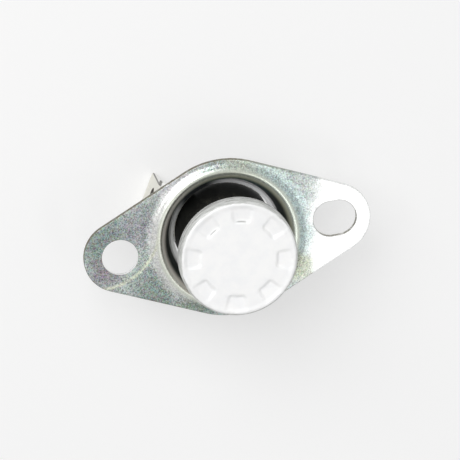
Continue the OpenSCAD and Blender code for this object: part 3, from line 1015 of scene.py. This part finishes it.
def node_finishes():
    """The base, the terminals and the pieces inside keep their shape and get a finish."""
    assign("base", moulding_finish())
    tinned = tinned_finish()
    for node in ("terminal_left", "terminal_right"):
        assign(node, tinned)
    for name, (nodes, *looks) in INNER_FINISHES.items():
        material = plain_finish(name, *looks)
        for node in nodes:
            assign(node, material)


def floor_material():
    """Pale matt board, which the lens sees lightened as in an overexposed picture."""
    finish = Finish("studio_board")
    finish.surface(Base_Color=BOARD, Roughness=0.9)
    glow = finish.add("ShaderNodeEmission", None, {"Color": WHITE, "Strength": 1.0})
    lit = Wire(finish, finish.shader.outputs[0])
    mix = finish.add("ShaderNodeMixShader", None, {0: finish.seen() * BOARD_GLOW, 1: lit, 2: glow})
    finish.feed(finish.output.inputs[0], mix)
    return finish.material


def make_floor():
    """A wide board at the height of the tabs' tips."""
    half = BOARD_HALF * MM
    z = floor_z * MM
    mesh = bpy.data.meshes.new("studio_floor")
    mesh.from_pydata([(-half, -half, z), (half, -half, z), (half, half, z), (-half, half, z)],
                     [], [(0, 1, 2, 3)])
    mesh.materials.append(floor_material())
    board = bpy.data.objects.new("studio_floor", mesh)
    bpy.context.scene.collection.objects.link(board)


def aim(place, target, up):
    """Matrix of a lamp at place that looks at target."""
    back = (place - target).normalized()
    side = up.cross(back).normalized()
    turn = Matrix((side, back.cross(side), back)).transposed()
    return Matrix.Translation(place) @ turn.to_4x4()


def make_camera():
    """A long lens that sees the plate's centre at its place in the picture."""
    target = Vector((0, 0, PLATE_TOP_Z))
    flat = math.sin(VIEW_LEAN)
    back = Vector((flat * math.cos(VIEW_TURN), flat * math.sin(VIEW_TURN), math.cos(VIEW_LEAN)))
    along = Vector((0, 1, 0))
    along = (along - along.dot(back) * back).normalized()
    above = back.cross(along)
    side = math.cos(VIEW_ROLL) * along - math.sin(VIEW_ROLL) * above
    up = math.sin(VIEW_ROLL) * along + math.cos(VIEW_ROLL) * above
    middle = PICTURE_PX / 2
    target += side * (middle - PLATE_CENTRE_PX[0]) / SCALE_PX
    target += up * (PLATE_CENTRE_PX[1] - middle) / SCALE_PX
    data = bpy.data.cameras.new("camera")
    data.sensor_width = SENSOR
    data.lens = SCALE_PX * VIEW_DISTANCE / PICTURE_PX * SENSOR
    data.clip_start = NEAREST_M
    data.clip_end = FURTHEST_M
    camera = bpy.data.objects.new("camera", data)
    turn = Matrix((side, up, back)).transposed().to_4x4()
    camera.matrix_world = Matrix.Translation((target + back * VIEW_DISTANCE) * MM) @ turn
    bpy.context.scene.collection.objects.link(camera)
    bpy.context.scene.camera = camera


def make_softbox(name, place, target, width, height, brightness):
    """A softbox of that size in millimetres, and the brightness of a flat surface at target.

    An even white room whose background has a strength of 1 gives a brightness of 1 too.
    """
    data = bpy.data.lights.new(name, "AREA")
    data.shape = "RECTANGLE"
    data.size = width * MM
    data.size_y = height * MM
    distance = (Vector(place) - Vector(target)) * MM
    lean = distance.z / distance.length
    data.energy = brightness * math.pi ** 2 * distance.length_squared / lean
    lamp = bpy.data.objects.new(name, data)
    lamp.matrix_world = aim(Vector(place) * MM, Vector(target) * MM, Vector((0, 1, 0.01)))
    bpy.context.scene.collection.objects.link(lamp)


def make_light():
    """An even pale room, and the softboxes."""
    world = bpy.data.worlds.new("studio")
    world.use_nodes = True
    room = Nodes(world.node_tree, "ShaderNodeOutputWorld")
    strength = ROOM_LIGHT + room.seen() * (ROOM_LOOK - ROOM_LIGHT)
    light = {"Color": WHITE, "Strength": strength}
    room.feed(room.output.inputs[0], room.add("ShaderNodeBackground", None, light))
    bpy.context.scene.world = world
    for softbox in SOFTBOXES:
        make_softbox(*softbox)


make_camera()
make_light()
make_floor()
cap_piece(aluminium_finish())
bracket_piece(zinc_finish())
node_finishes()
bpy.context.scene.view_settings.view_transform = "Standard"
